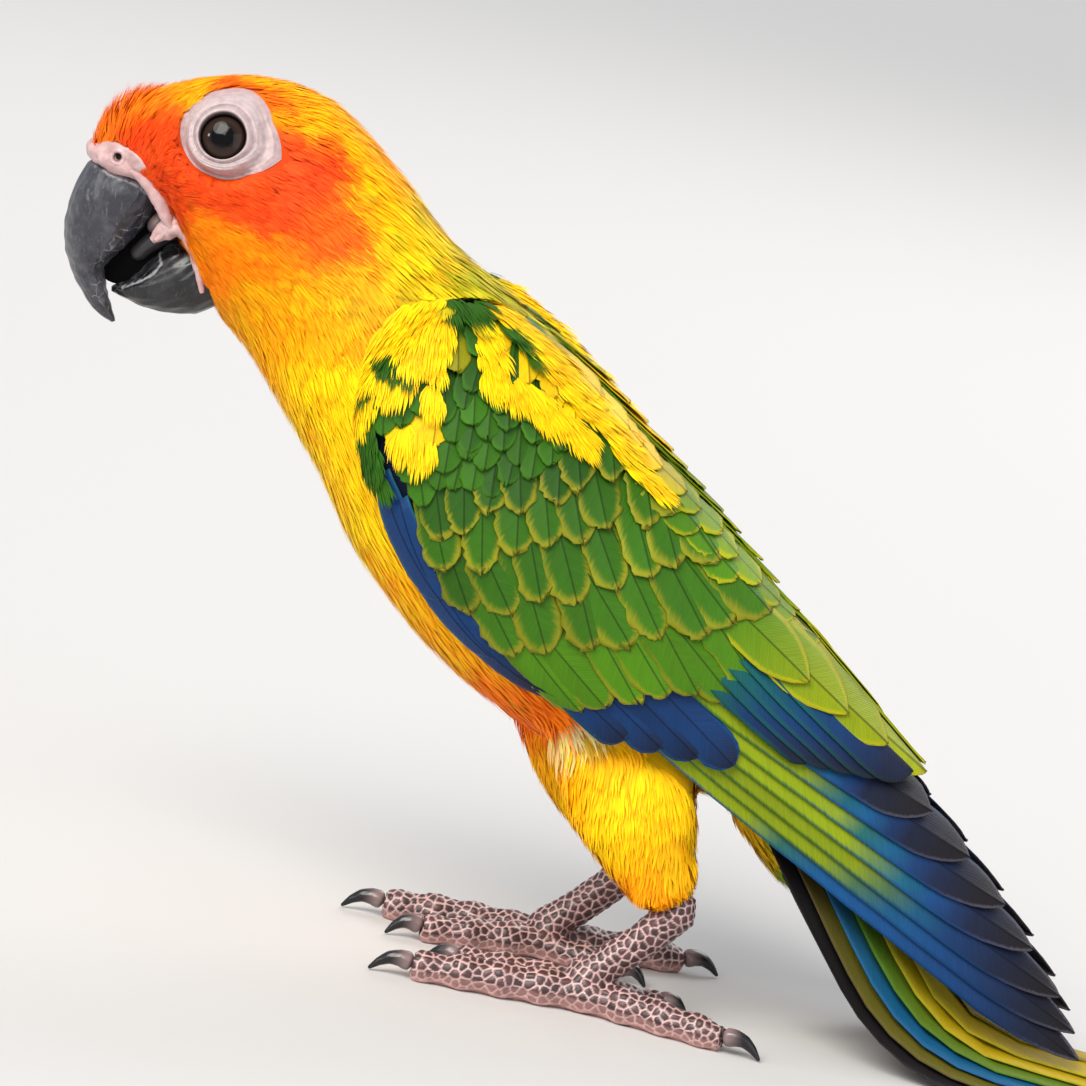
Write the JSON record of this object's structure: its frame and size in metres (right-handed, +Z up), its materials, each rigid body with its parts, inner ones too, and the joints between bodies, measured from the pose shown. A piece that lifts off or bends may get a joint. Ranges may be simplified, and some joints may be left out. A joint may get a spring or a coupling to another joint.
{
  "type": "sun conure",
  "caption": "Life-size still model of a young sun conure standing on level ground, with a black bill, orange face, yellow body, green and blue wings and a long tail.",
  "frame": {"origin": "on the floor, under the middle of the model's box", "axes": "+X towards the tail's tip and -X the way the bird faces, -Y towards its left side, +Z up"},
  "size_m": [0.2428, 0.061, 0.134],
  "materials": {
    "plumage_orange": "soft overlapping feathers, orange red on the face and golden on the crown",
    "plumage_yellow": "soft overlapping feathers, yellow with orange on the belly",
    "plumage_wing": "smooth vanes, green with yellow fringes, blue and black at the tips",
    "plumage_tail": "smooth vanes, olive and green with blue and black edges",
    "bill": "dark horn with a dull shine, fine scratches and paler worn edges",
    "tongue": "dark, smooth and moist",
    "claws": "glossy dark horn, paler at the root",
    "bare_skin": "bare whitish pink skin with fine folds",
    "foot_skin": "dark brown scales parted by pale pink lines",
    "eyes": "wet and glossy, dark brown with a black pupil"
  },
  "bodies": {
    "root": {"head": "plumage_orange", "neck": "plumage_yellow", "torso": "plumage_yellow", "cere": "bare_skin", "bill_upper": "bill", "bill_lower": "bill", "tongue": "tongue", "eye_left": "eyes", "eye_ring_left": "bare_skin", "wing_left": "plumage_wing", "thigh_left": "plumage_yellow", "foot_left": "foot_skin", "claw_outer_front_left": "claws", "claw_inner_front_left": "claws", "claw_outer_rear_left": "claws", "claw_inner_rear_left": "claws", "eye_right": "eyes", "eye_ring_right": "bare_skin", "wing_right": "plumage_wing", "thigh_right": "plumage_yellow", "foot_right": "foot_skin", "claw_outer_front_right": "claws", "claw_inner_front_right": "claws", "claw_outer_rear_right": "claws", "claw_inner_rear_right": "claws", "tail": "plumage_tail"}
  },
  "joints": []
}
